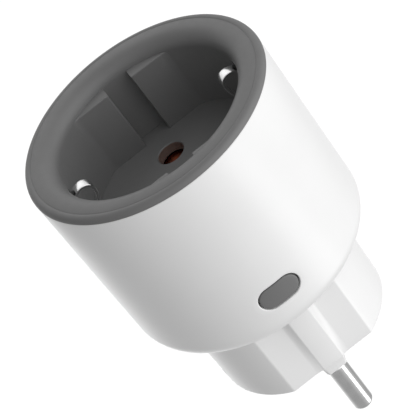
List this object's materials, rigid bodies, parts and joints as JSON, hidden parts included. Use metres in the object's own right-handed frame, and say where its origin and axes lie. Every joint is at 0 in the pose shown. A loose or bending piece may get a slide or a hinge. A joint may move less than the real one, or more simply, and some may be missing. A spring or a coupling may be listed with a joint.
{
  "type": "smart plug",
  "caption": "Round mains smart plug with an earthed socket in one end, two round pins in the other, a side push button and a relay board inside.",
  "frame": {"origin": "centre of the end face that meets the wall socket", "axes": "+Y along the plug's axis towards the wall, +X towards the push button, +Z towards the upper earth contact"},
  "size_m": [0.0524, 0.0864, 0.0524],
  "materials": {
    "shell_white": "satin moulded plastic, very light grey-white",
    "socket_grey": "fine matt moulded plastic, dark grey",
    "inner_plastic": "plain moulded plastic",
    "nickel": "nickel-plated brass, polished",
    "spring_steel": "bright plated spring strip",
    "copper": "bare copper alloy strip",
    "zinc_steel": "zinc-plated steel",
    "circuit_board": "green solder mask",
    "chip_black": "moulded epoxy",
    "relay_black": "satin moulded plastic",
    "capacitor_sleeve": "shrink sleeve",
    "film_yellow": "moulded capacitor box",
    "varistor_blue": "dipped epoxy",
    "ceramic_body": "ceramic tube"
  },
  "bodies": {
    "casing": {"housing_shell": "shell_white", "socket_insert": "socket_grey", "plug_base": "shell_white", "line_pin": "nickel", "line_inlet_strip": "copper", "line_socket_contact": "copper", "neutral_pin": "nickel", "neutral_inlet_strip": "copper", "neutral_socket_contact": "copper", "upper_side_contact": "spring_steel", "upper_earth_strap": "spring_steel", "lower_side_contact": "spring_steel", "lower_earth_strap": "spring_steel", "earth_pin_contact": "copper", "contact_carrier": "inner_plastic", "centre_screw": "zinc_steel", "board_screw_1": "zinc_steel", "board_screw_2": "zinc_steel", "board_screw_3": "zinc_steel", "switch_body": "chip_black", "main_board": "circuit_board", "side_board": "circuit_board", "radio_module_board": "chip_black", "radio_shield": "zinc_steel", "relay_cover": "relay_black", "relay_coil": "copper", "relay_yoke": "zinc_steel", "bulk_capacitor": "capacitor_sleeve", "output_capacitor": "capacitor_sleeve", "film_capacitor": "film_yellow", "drum_inductor": "capacitor_sleeve", "varistor": "varistor_blue", "fuse": "ceramic_body", "current_shunt": "copper", "bridge_rectifier": "chip_black", "supply_chip": "chip_black", "metering_chip": "chip_black"},
    "upper_earth_spring": {"upper_earth_spring": "spring_steel"},
    "lower_earth_spring": {"lower_earth_spring": "spring_steel"},
    "button": {"button_cap": "socket_grey"},
    "switch_plunger": {"switch_plunger": "inner_plastic"},
    "relay_armature": {"relay_armature": "zinc_steel"}
  },
  "joints": [
    {"name": "button_press", "type": "slide", "parent": "casing", "child": "button", "axis": [-1, 0, 0], "range_m": [0, 0.0005], "stiffness_N_per_m": 1500, "springref_m": -0.0003},
    {"name": "switch_travel", "type": "slide", "parent": "casing", "child": "switch_plunger", "axis": [-1, 0, 0], "range_m": [0, 0.0005]},
    {"name": "upper_spring_flex", "type": "hinge", "parent": "casing", "child": "upper_earth_spring", "pos_m": [0, -0.0438, 0.0207], "axis": [-1, 0, 0], "range_deg": [0, 3.5], "stiffness_Nm_per_rad": 2},
    {"name": "lower_spring_flex", "type": "hinge", "parent": "casing", "child": "lower_earth_spring", "pos_m": [0, -0.0438, -0.0207], "axis": [1, 0, 0], "range_deg": [0, 3.5], "stiffness_Nm_per_rad": 2},
    {"name": "relay_pull", "type": "hinge", "parent": "casing", "child": "relay_armature", "pos_m": [-0.0066, -0.038, 0.0106], "axis": [0, 0, -1], "range_deg": [0, 4], "stiffness_Nm_per_rad": 0.05, "springref_deg": -1.15}
  ],
  "couplings": [
    {"joint": "switch_travel", "follows": "button_press", "ratio": 1}
  ]
}
